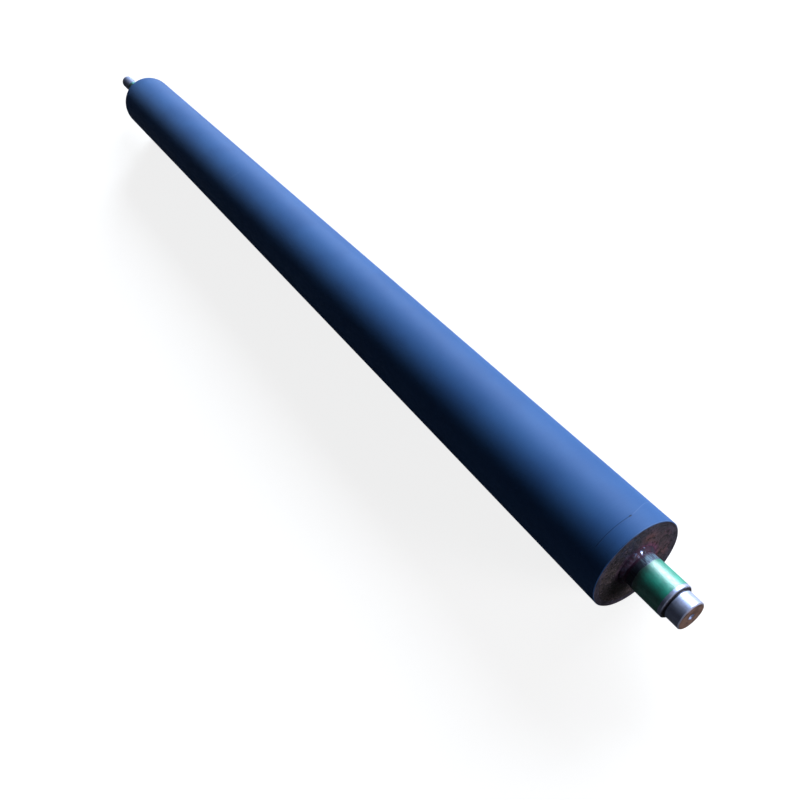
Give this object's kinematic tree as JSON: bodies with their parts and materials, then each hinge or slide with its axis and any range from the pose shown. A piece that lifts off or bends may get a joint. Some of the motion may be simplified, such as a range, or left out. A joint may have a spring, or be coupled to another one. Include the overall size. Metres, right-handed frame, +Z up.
{
  "type": "printing press roller",
  "caption": "Long rubber-covered steel roller with welded end discs and a stepped, ground journal at each end for bearings and drive.",
  "frame": {"origin": "on the roller's axis, half way along the overall length over both journals", "axes": "+X along the axis towards the short journal, +Z up, +Y square to both"},
  "size_m": [2.664, 0.165, 0.1646],
  "materials": {
    "cover_rubber": "ground, matt",
    "tube_steel": "faced, scaled",
    "header_steel": "scaled and rusty",
    "journal_steel": "turned and ground",
    "weld_steel": "as welded, dark"
  },
  "bodies": {
    "root": {"rubber_cover": "cover_rubber", "roller_tube": "tube_steel", "near_header": "header_steel", "far_header": "header_steel", "near_inner_disc": "tube_steel", "far_inner_disc": "tube_steel", "near_journal": "journal_steel", "far_journal": "journal_steel", "near_journal_weld": "weld_steel", "far_journal_weld": "weld_steel", "near_header_weld": "weld_steel", "far_header_weld": "weld_steel", "near_tail_weld": "weld_steel", "far_tail_weld": "weld_steel"}
  },
  "joints": []
}
